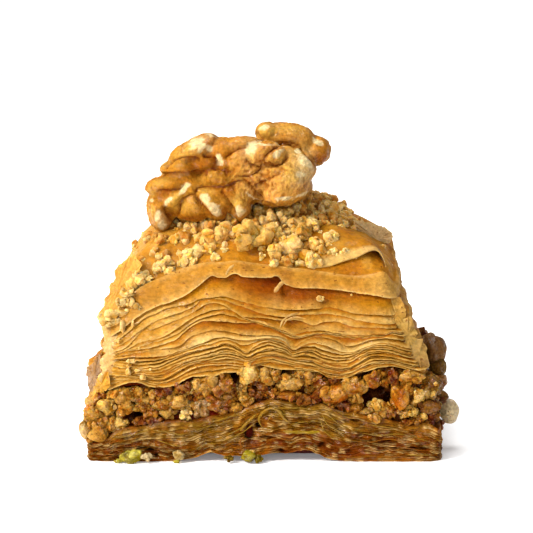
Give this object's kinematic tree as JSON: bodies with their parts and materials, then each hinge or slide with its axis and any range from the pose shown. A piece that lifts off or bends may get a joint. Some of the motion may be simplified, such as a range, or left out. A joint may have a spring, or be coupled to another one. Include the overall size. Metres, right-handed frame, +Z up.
{
  "type": "baklava piece",
  "caption": "Rectangular piece of layered walnut baklava with a soaked base, chopped nut filling, domed stack of thin sheets, nut crumbs and a walnut half on top.",
  "frame": {"origin": "centre of the footprint on the surface the piece rests on", "axes": "+X along the cut front face to the viewer's right, +Y from the cut front face to the back, +Z up"},
  "size_m": [0.0648, 0.0517, 0.055],
  "materials": {
    "soaked_pastry": "syrup-soaked pastry sheets, glossy olive brown",
    "chopped_walnut": "chopped walnuts in syrup, tan to dark brown",
    "golden_pastry": "baked golden pastry sheets with a light syrup gloss",
    "nut_crumbs": "dry cream to yellow walnut crumbs",
    "walnut_skin": "amber walnut skin with pale ridges"
  },
  "bodies": {
    "root": {"bottom_pastry": "soaked_pastry", "walnut_filling": "chopped_walnut", "top_pastry": "golden_pastry", "nut_topping": "nut_crumbs", "walnut_half": "walnut_skin"}
  },
  "joints": []
}
